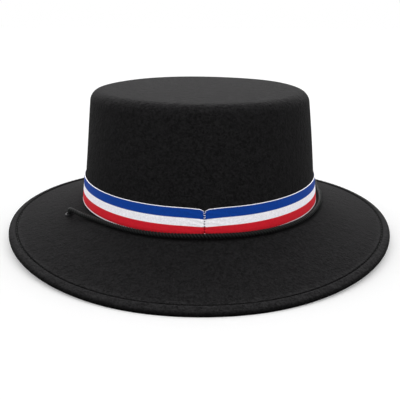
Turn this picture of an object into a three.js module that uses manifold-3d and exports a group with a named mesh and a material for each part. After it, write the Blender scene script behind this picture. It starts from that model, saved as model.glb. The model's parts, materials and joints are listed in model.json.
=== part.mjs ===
// A felt huaso hat: flat crown, wide brim with a stitched hem, woven hat ribbon and chin cord.
// Millimetres, +Z up, the hat resting on the plane z = 0. Its front faces -Y.

import * as THREE from 'three';
import { mergeVertices } from 'three/addons/utils/BufferGeometryUtils.js';
import Module from 'manifold-3d';

const wasm = await Module();
wasm.setup();

// Crown, outside sizes of the felt
const crownWidth = 180.8;
const crownDepth = 188;
const crownTopWidth = 160.9;
const crownTopDepth = 173.3;
const crownRise = 83.5;
const shoulderRadius = 8.6;
const footFillet = 1.2;
const feltWall = 2.2;

// Brim: how far it reaches past the crown, how high the crown's foot stands, the lift of its sides
const brimSide = 55.6;
const brimFront = 62.4;
const brimFall = 22.7;
const sideLift = 6.3;
const restShare = 0.2;
const liftPower = 1.8;

// Hem: a turned and stitched band round the edge, with a flat under it where the hat rests
const hemWidth = 6.2;
const hemRaise = 0.8;
const grooveWidth = 1.4;
const grooveDepth = 0.6;
const edgeRadius = 1;
const heelRadius = 0.5;
const restWidth = 2.2;

// Ribbon
const ribbonHeight = 19.2;
const ribbonWall = 1;
const ribbonLift = 1;
const ribbonDip = 0.65;
const seamAcross = 4;
const notchWidth = 6.4;
const notchDepth = 2.4;

// Eyelets and the cord that runs through them
const eyeletAngle = 203;
const eyeletOut = 12;
const eyeletBore = 5.2;
const eyeletWall = 0.5;
const flangeWidth = 7.8;
const flangeWall = 0.5;
const cordWidth = 3.4;
const knotWidth = 7;
const knotLength = 11;

const clearance = 0.3;

const roundSteps = 72;
const eyeletSteps = 20;
const cordSides = 8;

// The cord's route, from one side of its knot round to the other: under the back of the brim, up
// through the right eyelet, over the brim round the front of the crown and down the left eyelet.
const cordRoute = [
  [-46.4, 116.8, 3.8], [-38.2, 120.7, 2.8], [-17.9, 130.7, 2.0], [23.2, 134.9, 2.0],
  [62.6, 121.0, 2.0], [89.4, 91.9, 2.0], [95.9, 64.3, 4.9], [93.5, 44.2, 12.3],
  [93.8, 41.6, 16.2], [94.3, 41.4, 18.2], [94.8, 41.2, 20.0], [96.0, 39.5, 22.8],
  [97.2, 36.1, 24.5], [98.2, 22.7, 23.2], [97.5, 13.5, 22.9], [95.2, -5.2, 23.5],
  [88.8, -31.7, 23.9], [76.0, -57.3, 23.8], [56.6, -78.0, 23.8], [33.7, -91.0, 23.9],
  [8.2, -97.1, 24.0], [-17.9, -95.7, 24.0], [-41.2, -87.6, 23.9], [-57.9, -76.9, 23.8],
  [-69.1, -66.9, 23.6], [-78.0, -58.8, 23.2], [-84.4, -54.4, 23.6], [-92.6, -47.3, 24.4],
  [-94.1, -44.0, 22.7], [-94.5, -42.0, 19.9], [-94.3, -41.4, 18.2], [-94.1, -41.0, 16.2],
  [-95.7, -38.9, 12.3], [-111.5, -26.5, 4.9], [-126.2, -6.8, 2.0], [-130.5, 28.5, 2.0],
  [-115.5, 68.5, 2.0], [-85.9, 98.1, 2.0], [-65.3, 107.7, 2.8], [-57.1, 111.6, 3.8],
];

const crownTop = brimFall + crownRise;

// A straight line in the plane of a section
function line(from, to) {
  return { from, along: to.clone().sub(from).normalize() };
}

// The same line moved sideways, to the left of its direction
function shifted(a, distance) {
  const across = new THREE.Vector2(-a.along.y, a.along.x);
  return { from: a.from.clone().addScaledVector(across, distance), along: a.along };
}

// The point where two lines cross
function meet(a, b) {
  const between = b.from.clone().sub(a.from);
  const run = between.cross(b.along) / a.along.cross(b.along);
  return a.from.clone().addScaledVector(a.along, run);
}

// The point of a line at a distance out from the crown's foot
function pointAt(a, out) {
  return a.from.clone().addScaledVector(a.along, (out - a.from.x) / a.along.x);
}

// An arc that rounds the corner between two neighbouring points
function roundedCorner(before, corner, after, radius, steps) {
  const back = before.clone().sub(corner).normalize();
  const ahead = after.clone().sub(corner).normalize();
  const half = Math.acos(THREE.MathUtils.clamp(back.dot(ahead), -1, 1)) / 2;
  const centre = back.clone().add(ahead).normalize().multiplyScalar(radius / Math.sin(half)).add(corner);
  const reach = radius / Math.tan(half);
  const start = corner.clone().addScaledVector(back, reach).sub(centre);
  const turn = Math.sign(start.cross(corner.clone().addScaledVector(ahead, reach).sub(centre)));
  const sweep = turn * (Math.PI - 2 * half);
  const points = [];
  for (let i = 0; i <= steps; i += 1) {
    points.push(start.clone().rotateAround(new THREE.Vector2(), sweep * i / steps).add(centre));
  }
  return points;
}

// How far each size has gone from its side value to its front value at an angle round the hat
function between(angle, side, front) {
  return side * Math.cos(angle) ** 2 + front * Math.sin(angle) ** 2;
}

// How high the edge of the brim stands: level at the front and back, rising to the sides
function edgeLift(angle) {
  const share = Math.max(0, (Math.abs(Math.cos(angle)) - restShare) / (1 - restShare));
  return sideLift * share ** liftPower;
}

// The straight lines of the section at an angle; x is the distance out from the crown's foot
function sectionLines(angle) {
  const inset = between(angle, crownWidth - crownTopWidth, crownDepth - crownTopDepth) / 2;
  const reach = between(angle, brimSide, brimFront);
  const lift = edgeLift(angle);
  const foot = new THREE.Vector2(0, brimFall);
  const topCorner = new THREE.Vector2(-inset, crownTop);
  return {
    reach,
    top: line(new THREE.Vector2(-inset - shoulderRadius, crownTop), topCorner),
    side: line(topCorner, foot),
    brim: line(foot, new THREE.Vector2(reach - restWidth, lift + feltWall)),
    rest: line(new THREE.Vector2(reach, lift), new THREE.Vector2(0, lift)),
    edge: line(new THREE.Vector2(reach, crownTop), new THREE.Vector2(reach, lift)),
  };
}

// The felt's section at an angle, from the top of the crown out to the brim's edge and back inside
function feltSection(angle) {
  const { reach, top, side, brim, rest, edge } = sectionLines(angle);
  const hem = shifted(brim, hemRaise);
  const insideTop = shifted(top, -feltWall);
  const insideCrown = shifted(side, -feltWall);
  const under = shifted(brim, -feltWall);

  const shoulder = meet(top, side);
  const foot = meet(side, brim);
  const hemStart = pointAt(hem, reach - hemWidth);
  const hemEdge = meet(hem, edge);
  const heel = meet(edge, rest);
  const restEnd = meet(rest, under);
  const insideFoot = meet(under, insideCrown);
  const insideShoulder = meet(insideCrown, insideTop);
  const grooveStart = pointAt(brim, reach - hemWidth - grooveWidth);
  const grooveFloor = pointAt(shifted(brim, -grooveDepth), reach - hemWidth - grooveWidth / 2);

  return [
    ...roundedCorner(top.from, shoulder, foot, shoulderRadius, 5),
    ...roundedCorner(shoulder, foot, grooveStart, footFillet, 2),
    grooveStart,
    grooveFloor,
    hemStart,
    ...roundedCorner(hemStart, hemEdge, heel, edgeRadius, 2),
    ...roundedCorner(hemEdge, heel, restEnd, heelRadius, 1),
    restEnd,
    ...roundedCorner(restEnd, insideFoot, insideShoulder, footFillet + feltWall, 3),
    ...roundedCorner(insideFoot, insideShoulder, insideTop.from, shoulderRadius - feltWall, 4),
  ];
}

// A section's point in the hat's frame
function placed(point, angle) {
  const x = (crownWidth / 2 + point.x) * Math.cos(angle);
  const y = (crownDepth / 2 + point.x) * Math.sin(angle);
  return [x, y, point.y];
}

// Evenly spaced angles round the hat
function evenAngles(count) {
  return Array.from({ length: count }, (_, i) => i / count * 2 * Math.PI);
}

// A surface from sections set round the hat. With poles it is closed by one point at each end of
// the sections, and without them each section closes on itself.
function surfaceRound(angles, sectionAt, poles) {
  const sections = angles.map((angle) => sectionAt(angle).map((point) => placed(point, angle)));
  const rows = sections[0].length;
  const positions = sections.flat(2);
  const index = [];
  const at = (column, row) => (column % angles.length) * rows + row % rows;
  const lastRow = poles ? rows - 1 : rows;
  for (let column = 0; column < angles.length; column += 1) {
    for (let row = 0; row < lastRow; row += 1) {
      const a = at(column, row);
      const b = at(column, row + 1);
      const c = at(column + 1, row + 1);
      const d = at(column + 1, row);
      index.push(a, b, c, a, c, d);
    }
  }
  if (poles) {
    const first = positions.length / 3;
    positions.push(0, 0, poles[0], 0, 0, poles[1]);
    for (let column = 0; column < angles.length; column += 1) {
      index.push(first, at(column, 0), at(column + 1, 0));
      index.push(first + 1, at(column + 1, rows - 1), at(column, rows - 1));
    }
  }
  const geometry = new THREE.BufferGeometry();
  geometry.setAttribute('position', new THREE.Float32BufferAttribute(positions, 3));
  geometry.setIndex(index);
  return geometry;
}

// A closed geometry as a solid that can be cut
function solidOf(geometry) {
  const bare = geometry.clone();
  bare.deleteAttribute('normal');
  bare.deleteAttribute('uv');
  const merged = mergeVertices(bare, 1e-4);
  const vertProperties = new Float32Array(merged.attributes.position.array);
  const triVerts = new Uint32Array(merged.index.array);
  return new wasm.Manifold(new wasm.Mesh({ numProp: 3, vertProperties, triVerts }));
}

// A solid's faces as a geometry
function geometryOf(solid) {
  const mesh = solid.getMesh();
  const geometry = new THREE.BufferGeometry();
  geometry.setAttribute('position', new THREE.Float32BufferAttribute(mesh.vertProperties, 3));
  geometry.setIndex(Array.from(mesh.triVerts));
  return geometry;
}

// Where an eyelet sits: the middle of the brim's wall, with +Y turned square to the brim
function eyeletSeat(angle) {
  const { brim } = sectionLines(angle);
  const centre = pointAt(shifted(brim, -feltWall / 2), eyeletOut);
  const ahead = pointAt(shifted(brim, -feltWall / 2), eyeletOut + flangeWidth);
  const origin = new THREE.Vector3(...placed(centre, angle));
  const outward = new THREE.Vector3(...placed(ahead, angle)).sub(origin).normalize();
  const round = new THREE.Vector3(0, 0, 1).cross(outward).normalize();
  const square = outward.clone().cross(round);
  return new THREE.Matrix4().makeBasis(outward, square, round.negate()).setPosition(origin);
}

const eyeletAngles = {
  eyelet_left: THREE.MathUtils.degToRad(eyeletAngle),
  eyelet_right: THREE.MathUtils.degToRad(eyeletAngle - 180),
};

// The felt of crown and brim, with the two holes for the eyelets
function feltBody() {
  const poles = [crownTop, crownTop - feltWall];
  let felt = solidOf(surfaceRound(evenAngles(roundSteps), feltSection, poles));
  const holeRadius = eyeletBore / 2 + eyeletWall + clearance;
  for (const angle of Object.values(eyeletAngles)) {
    const drill = new THREE.CylinderGeometry(holeRadius, holeRadius, 4 * feltWall, eyeletSteps);
    felt = felt.subtract(solidOf(drill.applyMatrix4(eyeletSeat(angle))));
  }
  return geometryOf(felt);
}

// The ribbon, a band on the crown's side with a small notch in its top edge at the sewn seam
function ribbonBand() {
  const seam = 1.5 * Math.PI + Math.asin(seamAcross / (crownDepth / 2));
  const notchAngle = notchWidth / crownDepth;
  const notch = [seam - notchAngle, seam, seam + notchAngle];
  const angles = [...evenAngles(roundSteps), ...notch].sort((a, b) => a - b);
  const section = (angle) => {
    const { side } = sectionLines(angle);
    const bottom = brimFall + ribbonLift + ribbonDip * Math.cos(2 * angle);
    const cut = notchDepth * Math.max(0, 1 - Math.abs(angle - seam) / notchAngle);
    const faceAt = (offset, height) => {
      const face = shifted(side, offset);
      return meet(face, line(new THREE.Vector2(0, height), new THREE.Vector2(1, height)));
    };
    return [
      faceAt(clearance, bottom + ribbonHeight - cut),
      faceAt(clearance + ribbonWall, bottom + ribbonHeight - cut),
      faceAt(clearance + ribbonWall, bottom),
      faceAt(clearance, bottom),
    ];
  };
  return surfaceRound(angles, section, null);
}

// A small rolled eyelet: a barrel through the felt with a flange on each face of the brim
function eyelet() {
  const bore = eyeletBore / 2;
  const barrel = bore + eyeletWall;
  const rim = flangeWidth / 2;
  const seat = feltWall / 2 + clearance;
  const face = seat + flangeWall;
  const outline = [
    [bore, -face + flangeWall / 2], [bore + flangeWall / 2, -face], [rim - flangeWall / 2, -face],
    [rim, -seat], [barrel, -seat], [barrel, seat], [rim, seat],
    [rim - flangeWall / 2, face], [bore + flangeWall / 2, face], [bore, face - flangeWall / 2],
    [bore, -face + flangeWall / 2],
  ];
  return new THREE.LatheGeometry(outline.map(([x, y]) => new THREE.Vector2(x, y)), eyeletSteps);
}

// A smooth curve whose steps are spread by its points, so close points give a fine bend
class Route extends THREE.CatmullRomCurve3 {
  getUtoTmapping(u) {
    return u;
  }
}

// The cord along its route
function cord() {
  const points = cordRoute.map((point) => new THREE.Vector3(...point));
  const corners = Array.from({ length: cordSides }, (_, i) => {
    const turn = (i + 0.5) / cordSides * 2 * Math.PI;
    return new THREE.Vector2(Math.cos(turn), Math.sin(turn)).multiplyScalar(cordWidth / 2);
  });
  const extrudePath = new Route(points, false, 'centripetal');
  const steps = 2 * (points.length - 1);
  return new THREE.ExtrudeGeometry(new THREE.Shape(corners), { extrudePath, steps });
}

// The knot, a short barrel with tapered ends between the cord's two ends
function knot() {
  const half = knotLength / 2;
  const waist = cordWidth / 2 + 0.25;
  const outline = [
    [0, -half], [waist, -half], [knotWidth / 2 * 0.85, -half * 0.6], [knotWidth / 2, -half * 0.2],
    [knotWidth / 2, half * 0.2], [knotWidth / 2 * 0.85, half * 0.6], [waist, half], [0, half],
  ];
  return new THREE.LatheGeometry(outline.map(([x, y]) => new THREE.Vector2(x, y)), 12);
}

const feltFinish = new THREE.MeshStandardMaterial({ color: 0x1c1c1e, roughness: 0.95, metalness: 0 });
const ribbonFinish = new THREE.MeshStandardMaterial({ color: 0xe6dce4, roughness: 0.6, metalness: 0 });
const cordFinish = new THREE.MeshStandardMaterial({ color: 0x17181a, roughness: 0.7, metalness: 0 });
const eyeletFinish = new THREE.MeshStandardMaterial({ color: 0x141416, roughness: 0.25, metalness: 1 });

function named(name, geometry, material) {
  const mesh = new THREE.Mesh(geometry, material);
  mesh.name = name;
  return mesh;
}

const hat = new THREE.Group();
hat.name = 'huaso_hat';
hat.add(named('felt_body', feltBody(), feltFinish));
hat.add(named('ribbon_band', ribbonBand(), ribbonFinish));

for (const [name, angle] of Object.entries(eyeletAngles)) {
  const mesh = named(name, eyelet(), eyeletFinish);
  eyeletSeat(angle).decompose(mesh.position, mesh.quaternion, mesh.scale);
  hat.add(mesh);
}

hat.add(named('chin_cord', cord(), cordFinish));
const joint = named('cord_knot', knot(), cordFinish);
const ends = [cordRoute.at(0), cordRoute.at(-1)].map((point) => new THREE.Vector3(...point));
joint.position.addVectors(...ends).multiplyScalar(0.5);
joint.quaternion.setFromUnitVectors(new THREE.Vector3(0, 1, 0), ends[0].clone().sub(ends[1]).normalize());
hat.add(joint);

export default hat;
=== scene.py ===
"""A felt huaso hat on a pale floor, made around its fixed frame.

The felt crown and brim, the striped ribbon with its sewn seam, the eyelets, the hem's stitches and
the twisted chin cord with its knot are surfaces of two parameters, worked out as whole arrays.
"""

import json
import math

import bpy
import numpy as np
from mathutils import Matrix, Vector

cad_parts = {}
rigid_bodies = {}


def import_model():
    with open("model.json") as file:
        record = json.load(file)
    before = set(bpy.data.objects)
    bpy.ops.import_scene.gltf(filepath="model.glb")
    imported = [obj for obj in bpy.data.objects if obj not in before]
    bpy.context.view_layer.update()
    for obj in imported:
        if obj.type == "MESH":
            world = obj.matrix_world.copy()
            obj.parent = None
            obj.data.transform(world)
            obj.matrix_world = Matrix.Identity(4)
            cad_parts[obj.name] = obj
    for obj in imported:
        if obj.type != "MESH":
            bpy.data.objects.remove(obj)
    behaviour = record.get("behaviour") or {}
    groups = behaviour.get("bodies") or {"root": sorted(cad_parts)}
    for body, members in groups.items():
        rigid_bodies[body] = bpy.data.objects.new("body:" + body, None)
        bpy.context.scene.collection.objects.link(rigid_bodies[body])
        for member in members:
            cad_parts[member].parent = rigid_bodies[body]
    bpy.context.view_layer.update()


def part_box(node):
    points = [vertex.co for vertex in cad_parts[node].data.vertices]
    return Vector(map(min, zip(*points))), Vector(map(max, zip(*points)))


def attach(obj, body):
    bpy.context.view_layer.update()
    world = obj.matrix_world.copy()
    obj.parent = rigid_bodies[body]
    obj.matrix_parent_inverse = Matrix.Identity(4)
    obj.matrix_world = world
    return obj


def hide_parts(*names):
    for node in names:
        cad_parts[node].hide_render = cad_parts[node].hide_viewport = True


bl_info = {
    "name": "Huaso Hat",
    "version": (1, 0, 0),
    "blender": (4, 5, 0),
    "location": "View3D > Sidebar > Hat",
    "description": "Makes a felt huaso hat with a striped ribbon and a twisted chin cord",
    "category": "Object",
}

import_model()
FELT_LOW, FELT_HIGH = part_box("felt_body")
BODY = "root"
EYELETS = "eyelet_left", "eyelet_right"

UPRIGHT = np.array([0, 0, 1.0])

# The photograph's frame in pixels, and the point of it that the camera's axis meets
PHOTO_SIZE = 400
AXIS_ACROSS = 199.45
AXIS_DOWN = 203.76

# The camera that fits it: film and lens in millimetres, turns in radians and its place in metres
CAMERA_FILM = 36
CAMERA_LENS = 50.69
CAMERA_PITCH = 0.325
CAMERA_ROLL = 0.006
CAMERA_PLACE = 0, -0.4303, 0.1586

# The cord's route in metres, from one side of its knot round to the other
CORD_ROUTE = np.array([
    [-46.4, 116.8, 3.8], [-38.2, 120.7, 2.8], [-17.9, 130.7, 2.0], [23.2, 134.9, 2.0],
    [62.6, 121.0, 2.0], [89.4, 91.9, 2.0], [95.9, 64.3, 4.9], [93.5, 44.2, 12.3],
    [93.8, 41.6, 16.2], [94.3, 41.4, 18.2], [94.8, 41.2, 20.0], [96.0, 39.5, 22.8],
    [97.2, 36.1, 24.5], [98.2, 22.7, 23.2], [97.5, 13.5, 22.9], [95.2, -5.2, 23.5],
    [88.8, -31.7, 23.9], [76.0, -57.3, 23.8], [56.6, -78.0, 23.8], [33.7, -91.0, 23.9],
    [8.2, -97.1, 24.0], [-17.9, -95.7, 24.0], [-41.2, -87.6, 23.9], [-57.9, -76.9, 23.8],
    [-69.1, -66.9, 23.6], [-78.0, -58.8, 23.2], [-84.4, -54.4, 23.6], [-92.6, -47.3, 24.4],
    [-94.1, -44.0, 22.7], [-94.5, -42.0, 19.9], [-94.3, -41.4, 18.2], [-94.1, -41.0, 16.2],
    [-95.7, -38.9, 12.3], [-111.5, -26.5, 4.9], [-126.2, -6.8, 2.0], [-130.5, 28.5, 2.0],
    [-115.5, 68.5, 2.0], [-85.9, 98.1, 2.0], [-65.3, 107.7, 2.8], [-57.1, 111.6, 3.8],
]) / 1000

# Height of the cord's centre above the floor it lies on, in widths of the cord
LYING_SHARE = 0.56

# How far the bulk of the ribbon's seam lifts the cord, how far to each side, and where that counts:
# further to the front than this share of the crown's width
SEAM_LIFT = 0.0007
SEAM_LIFT_REACH = 0.024
FRONT_SHARE = 0.44

# The cord's three strands: their crests stand a little past its mean radius, and a strand's own
# radius is a share of the cord's
CREST_SHARE = 1.06
CORD_STRAND = 0.52

# Steps of the curve between two points of the route, the distance from ring to ring of the cord,
# the sides of each ring, and how many rings lie between two that are declared
SPAN_STEPS = 40
CORD_STEP = 0.00042
CORD_SIDES = 24

# The knot is the cord drawn tight: its turns, radius, pitch in radii, core, strands and rings
KNOT_WRAPS = 3.5
KNOT_WIRE = 0.00118
KNOT_PITCH = 2.05
KNOT_CORE = 0.0004
KNOT_STRAND = 0.56
KNOT_RINGS = 260
KNOT_SIDES = 18

# The brim's edge is level while the cosine of the angle is under a share, then rises to the sides,
# and its flat underside ends a little short of the edge
REST_SHARE = 0.2
LIFT_POWER = 1.8
REST_WIDTH = 0.0022

# Radii of the felt at the crown's foot, at the rolled edge of the brim and under it
FOOT_FILLET = 0.0012
EDGE_RADIUS = 0.0022
HEEL_RADIUS = 0.0006

# How far the hem's top swells, and how far the crown's side and top wander from true
HEM_SWELL = 0.0004
SIDE_WANDER = 0.00035
TOP_WANDER = 0.0004

# The waves of the crown's side: strength, waves round it, radians per metre of height and phase
SIDE_WAVES = (
    (1.0, 3, 30, 0.7),
    (0.7, 5, 55, -1.1),
    (0.5, 8, 0, 2.0),
)

# Painted shade drawn into the felt by its own attribute: how much darker it is at the bottom of the
# groove, from the upper to the lower end of the edge, and under it; the hem's top, and the lips of
# the groove, are drawn lighter as a painted highlight
GROOVE_SHADE = 0.95
EDGE_SHADES = -0.2, 0.8
HEEL_SHADE = 0.9
HEM_PAINTED_HIGHLIGHT = -0.4

# Columns of the felt to each stitch of the hem, and rows of its section on the long stretches, in
# the groove, over the hem and inside
STITCH_COLUMNS = 4
OUTSIDE_ROWS = 16
GROOVE_ROWS = 13
HEM_ROWS = 8
INSIDE_ROWS = 8

# Shares of the top's radius at which its rings lie
TOP_RINGS = np.array([0.02, 0.1, 0.24, 0.4, 0.55, 0.69, 0.81, 0.9, 0.96])[:, None, None]

# Half the length of a hem stitch in pitches, its thread's radius, how it arches off the groove, and
# its rings and their sides
HEM_STITCH_REACH = 0.36
HEM_THREAD = 0.00025
HEM_THREAD_ARCH = 0.0003
HEM_THREAD_LIFT = 0.00003
HEM_THREAD_RINGS = 7
HEM_THREAD_SIDES = 6

# The ribbon's outer face stands off the crown, its lower edge dips at the front and back, and it
# was this long before it was sewn
RIBBON_OUTSIDE = 0.0011
RIBBON_LIFT = 0.001
RIBBON_DIP = 0.00065

# Shares of the ribbon's height: the tops of the red and the white stripe, the blur between two,
# and where each white edge starts and is full
RED_TOP = 0.378
WHITE_TOP = 0.657
STRIPE_BLUR = 0.004
UPPER_EDGE = 0.979, 0.987
LOWER_EDGE = 0.050, 0.040

# Pitches of the weave's ribs and picks, and the bead along each edge of the ribbon: its thickness,
# and its place and reach in shares of the height
RIB_PITCH = 0.0008
PICK_PITCH = 0.00042
EDGE_BEAD = 0.00008
EDGE_BEAD_REACH = 0.012

# Columns of the ribbon: evenly round the crown, and finer within an angle of the seam
RIBBON_COLUMNS = 540
FINE_COLUMNS = 81
FINE_REACH = 0.05
FINE_MARGIN = 0.005

# Shares of the ribbon's height at which its rows lie, up the outer face and down the inner one
ROWS_UP = np.concatenate([[0.003, 0.012], np.linspace(0.03, 0.97, 63), [0.988, 0.997]])
ROWS_DOWN = np.concatenate([[0.997, 0.97], np.linspace(0.9, 0.1, 9), [0.03, 0.003]])

# Depth and reach to each side of the sag and of the crease that the seam pulls in the ribbon
SAG_DEPTH = 0.0009
SAG_REACH = 0.009
CREASE_DEPTH = 0.0005
CREASE_REACH = 0.0006

# Shares of the ribbon's height at which the seam's stitches cross it; two are pulled out of sight
SEAM_STITCHES = np.linspace(0.93, 0.13, 9)
SEAM_PITCH = 0.1
SUNK_STITCHES = 6, 7

# Hand sewing is uneven: the length of each stitch in view as a share of the longest, and its slant
# as a share of the ribbon's height, from the top down
SEAM_LENGTHS = np.array([1.0, 0.9, 0.8, 0.85, 0.8, 0.95, 0.8])[:, None]
SEAM_SLANTS = np.array([0.01, -0.015, 0.01, 0.01, -0.015, 0.01, 0.005])[:, None]

# Half the length of the longest seam stitch, its thread's radius, how it arches off the ribbon, and
# its rings and their sides
SEAM_STITCH_REACH = 0.0009
SEAM_THREAD = 0.00017
SEAM_THREAD_ARCH = 0.0002
SEAM_THREAD_RINGS = 9
SEAM_THREAD_SIDES = 8

# Wall of an eyelet's barrel, how far its rims stand off the felt, the dome of a rolled rim, and how
# far inside it the barrel ends
EYELET_WALL = 0.0004
EYELET_PROUD = 0.0003
EYELET_DOME = 0.0006
EYELET_LAP = 0.0001
EYELET_SIDES = 40

# How far the drill for an eyelet reaches each way, and its gap round the barrel
DRILL_REACH = 0.006
DRILL_GAP = 0.0001
DRILL_SIDES = 32

# Half the floor's width, and the two windows: name, power in watts, size, place and tilt
FLOOR_HALF = 6.0
WINDOWS = (
    ("back_window", 47, 1.2, (0.0, 0.9, 1.0), -0.73),
    ("overhead_window", 20, 1.6, (0.0, -0.3, 1.5), 0.2),
)


def length_property(name, description, default):
    return bpy.props.FloatProperty(
        name=name, description=description, default=default, unit="LENGTH", precision=5
    )


def colour_property(name, description, default):
    return bpy.props.FloatVectorProperty(
        name=name, description=description, default=default, subtype="COLOR", size=3, min=0, max=1
    )


class HatSizes(bpy.types.PropertyGroup):
    """The sizes of the felt, ribbon, hem, eyelets and cord"""

    crown_width: length_property("Crown width", "Outside width of the crown at its foot", 0.1808)
    crown_depth: length_property("Crown depth", "Outside depth of the crown at its foot", 0.188)
    top_width: length_property("Top width", "Outside width of the crown at its top", 0.1609)
    top_depth: length_property("Top depth", "Outside depth of the crown at its top", 0.1733)
    crown_top: length_property("Crown top", "Height of the flat top", FELT_HIGH.z)
    shoulder: length_property("Shoulder", "Radius of the rim of the crown", 0.0086)
    felt: length_property("Felt", "Thickness of the felt", 0.0022)
    brim_width: length_property("Brim width", "Overall width of the brim", FELT_HIGH.x - FELT_LOW.x)
    brim_depth: length_property("Brim depth", "Overall depth of the brim", FELT_HIGH.y - FELT_LOW.y)
    foot_height: length_property("Foot height", "Height of the crown's foot", 0.0227)
    side_lift: length_property("Side lift", "How far the sides of the brim rise", 0.0063)
    hem_width: length_property("Hem width", "Width of the turned hem at the front and back", 0.0053)
    hem_side: length_property("Hem side", "Width of the turned hem at the sides", 0.0043)
    hem_raise: length_property("Hem raise", "How far the hem stands above the brim", 0.0012)
    groove_width: length_property("Groove width", "Width of the stitched groove", 0.0026)
    groove_depth: length_property("Groove depth", "Depth of the stitched groove", 0.0016)
    stitch_pitch: length_property("Stitch pitch", "From one stitch of the hem to the next", 0.005)
    ribbon_height: length_property("Ribbon height", "Width of the woven ribbon", 0.0192)
    ribbon_wall: length_property("Ribbon wall", "Thickness of the ribbon", 0.0005)
    seam_across: length_property("Seam across", "From the middle to the ribbon's seam", 0.0034)
    notch_width: length_property("Notch width", "Width of the notch at the seam", 0.007)
    notch_depth: length_property("Notch depth", "Depth of the notch at the seam", 0.0017)
    eyelet_bore: length_property("Eyelet bore", "Inner diameter of the eyelets", 0.0052)
    eyelet_width: length_property("Eyelet width", "Outer diameter of the eyelets", 0.0078)
    cord_width: length_property("Cord width", "Diameter of the chin cord", 0.0034)
    cord_lay: length_property("Cord lay", "Length of one full twist of the cord", 0.0066)


class HatColours(bpy.types.PropertyGroup):
    """The colours of the felt, ribbon, cord and eyelets"""

    felt: colour_property("Felt", "Dyed wool", (0.0076, 0.0074, 0.0077))
    blue: colour_property("Blue", "Upper stripe", (0.0033, 0.041, 0.262))
    white: colour_property("White", "Middle stripe and edges", (0.84, 0.825, 0.87))
    red: colour_property("Red", "Lower stripe", (0.55, 0.012, 0.023))
    cord: colour_property("Cord", "Dyed yarn", (0.0058, 0.0063, 0.0062))
    enamel: colour_property("Enamel", "Black of the eyelets", (0.012, 0.012, 0.013))


class Value:
    """A node's output that adds a Math node for each operator used on it."""

    def __init__(self, finish, socket):
        self.finish = finish
        self.socket = socket

    def math(self, operation, first, second=0.0):
        return self.finish.node("ShaderNodeMath", {"operation": operation}, (first, second))

    def __add__(self, other):
        return self.math("ADD", self, other)

    def __sub__(self, other):
        return self.math("SUBTRACT", self, other)

    def __rsub__(self, other):
        return self.math("SUBTRACT", other, self)

    def __mul__(self, other):
        return self.math("MULTIPLY", self, other)

    def __pow__(self, other):
        return self.math("POWER", self, other)

    __radd__ = __add__
    __rmul__ = __mul__

    def sine(self):
        return self.math("SINE", self)

    def absolute(self):
        return self.math("ABSOLUTE", self)

    def fraction(self):
        return self.math("FRACT", self)


class Finish:
    """A material whose nodes are written as expressions."""

    def __init__(self, name, **surface):
        self.material = bpy.data.materials.new(name)
        self.material.use_nodes = True
        self.tree = self.material.node_tree
        self.surface = self.tree.nodes["Principled BSDF"]
        for socket, value in surface.items():
            self.feed(self.surface.inputs[socket.replace("_", " ")], value)

    def feed(self, socket, value):
        """Links a value to a socket, or sets the socket to a number or a colour."""
        if isinstance(value, Value):
            self.tree.links.new(value.socket, socket)
        elif socket.type == "RGBA":
            socket.default_value = (*value, 1.0)
        else:
            socket.default_value = value

    def node(self, kind, settings=None, inputs=(), output=None):
        """Adds a node: settings are set first, and inputs are in order, or named in a dict. The
        result is the named output, or else the first one in use."""
        node = self.tree.nodes.new(kind)
        for name, value in (settings or {}).items():
            setattr(node, name, value)
        open_sockets = [socket for socket in node.inputs if socket.enabled]
        if isinstance(inputs, dict):
            named = {socket.name: socket for socket in open_sockets}
            pairs = [(named[name], value) for name, value in inputs.items()]
        else:
            pairs = zip(open_sockets, inputs)
        for socket, value in pairs:
            self.feed(socket, value)
        given = [socket for socket in node.outputs if socket.enabled]
        if output is not None:
            given = [socket for socket in given if socket.name == output]
        return Value(self, given[0])

    def place(self):
        """The place of each point in the hat's own frame."""
        return self.node("ShaderNodeTexCoord", output="Object")

    def uv(self):
        """The two parts of the piece's own map, as values."""
        spot = self.node("ShaderNodeUVMap")
        split = self.node("ShaderNodeSeparateXYZ", inputs=(spot,), output="X")
        return split, Value(self, split.socket.node.outputs["Y"])

    def attribute(self, name):
        """One of the piece's own values for each point; 0 where it has none."""
        return self.node("ShaderNodeAttribute", {"attribute_name": name}, output="Fac")

    def noise(self, place, scale, detail=3.0, roughness=0.5):
        inputs = {"Vector": place, "Scale": scale, "Detail": detail, "Roughness": roughness}
        return self.node("ShaderNodeTexNoise", inputs=inputs)

    def mix(self, factor, first, second):
        return self.node("ShaderNodeMix", {"data_type": "RGBA"}, (factor, first, second))

    def shaded(self, colour, tone):
        """A colour made lighter or darker by a value round 1."""
        inputs = {"Vector": colour, "Scale": tone}
        return self.node("ShaderNodeVectorMath", {"operation": "SCALE"}, inputs)

    def step(self, value, low, high):
        """Rises smoothly from 0 at low to 1 at high."""
        settings = {"interpolation_type": "SMOOTHSTEP"}
        inputs = {"Value": value, "From Min": low, "From Max": high}
        return self.node("ShaderNodeMapRange", settings, inputs)

    def colour(self, value):
        self.feed(self.surface.inputs["Base Color"], value)

    def roughness(self, value):
        self.feed(self.surface.inputs["Roughness"], value)

    def bump(self, height, distance, strength=1.0):
        inputs = {"Height": height, "Distance": distance, "Strength": strength}
        self.feed(self.surface.inputs["Normal"], self.node("ShaderNodeBump", inputs=inputs))


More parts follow.
